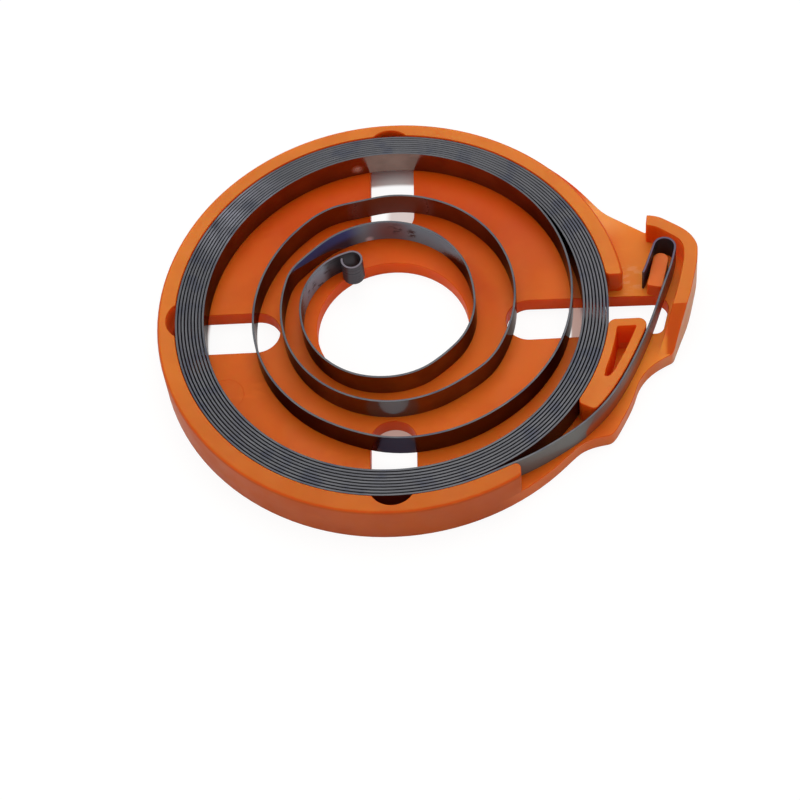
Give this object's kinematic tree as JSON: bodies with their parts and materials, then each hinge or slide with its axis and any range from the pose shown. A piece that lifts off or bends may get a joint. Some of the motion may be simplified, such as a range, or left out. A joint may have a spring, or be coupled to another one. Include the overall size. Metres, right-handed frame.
{
  "type": "spiral power spring in its cassette",
  "caption": "Flat steel strip wound as a spiral power spring in a round open plastic cassette, hooked over a peg on the cassette's ear, with a curled eye at the centre.",
  "frame": {"origin": "centre of the hub hole in the plane of the cassette's underside", "axes": "+Z out of the open side of the cassette, +X towards the ear that carries the hook, +Y along the slot that lies a quarter turn from the ear"},
  "size_m": [0.0925, 0.08, 0.008],
  "materials": {
    "spring_steel": "blued, cold rolled",
    "housing_plastic": "moulded, satin"
  },
  "bodies": {
    "root": {"rewind_spring": "spring_steel", "spring_housing": "housing_plastic"}
  },
  "joints": []
}
